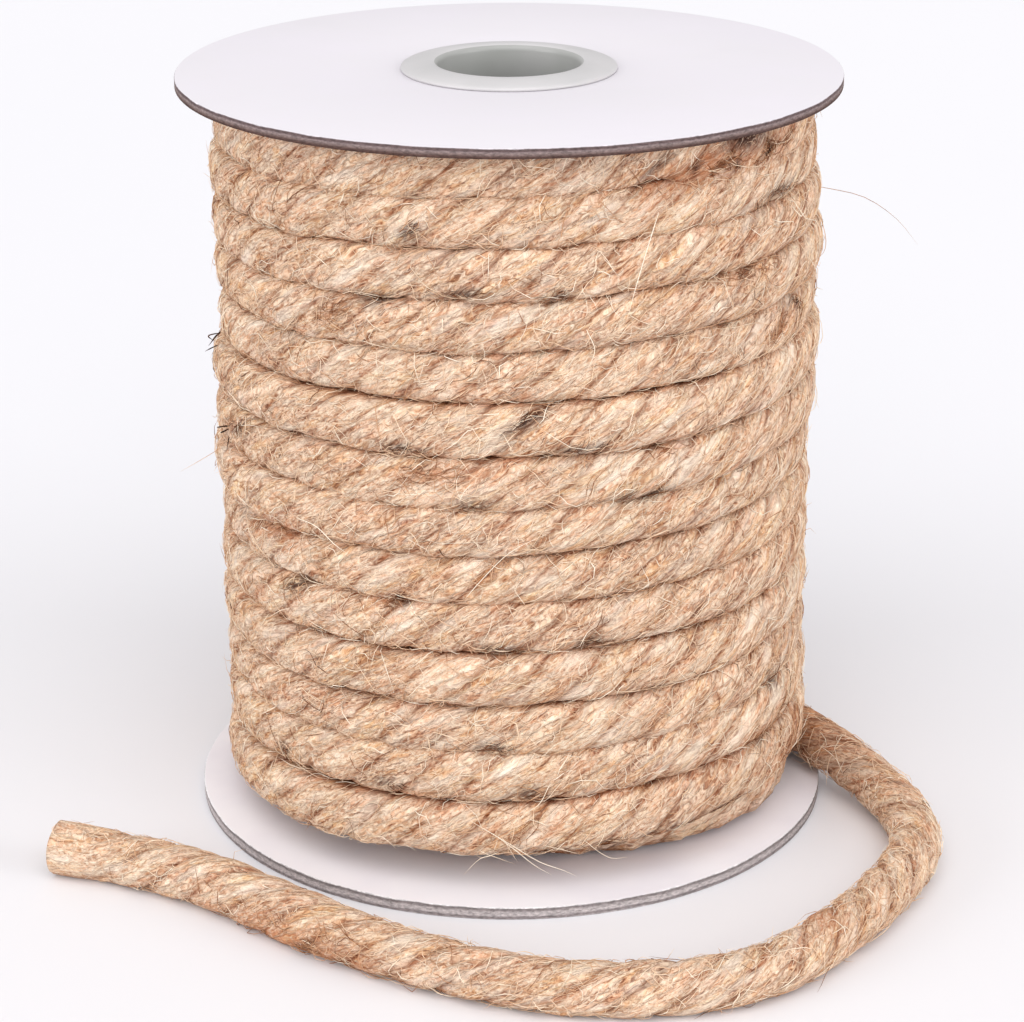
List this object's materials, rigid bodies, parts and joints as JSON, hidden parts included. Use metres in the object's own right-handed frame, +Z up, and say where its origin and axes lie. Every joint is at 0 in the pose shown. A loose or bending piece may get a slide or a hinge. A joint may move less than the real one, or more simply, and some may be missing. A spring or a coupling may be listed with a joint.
{
  "type": "reel of jute rope with a loose end",
  "caption": "Twisted natural-fibre rope wound side by side on a round two-board reel with a hollow hub, its last turn pulled off and lying in a curve.",
  "frame": {"origin": "on the floor under the middle of the reel's lower board", "axes": "+Z up along the reel's axis; -Y is the front, where the loose end passes; +X is the side where the loose end leaves the winding"},
  "size_m": [0.1371, 0.131, 0.1182],
  "materials": {
    "board": "white paper face with a grey board edge",
    "hub": "satin pale grey",
    "rope": "hairy undyed jute"
  },
  "bodies": {
    "root": {"lower_flange": "board", "upper_flange": "board", "hub": "hub", "wound_rope": "rope", "loose_end": "rope"}
  },
  "joints": []
}
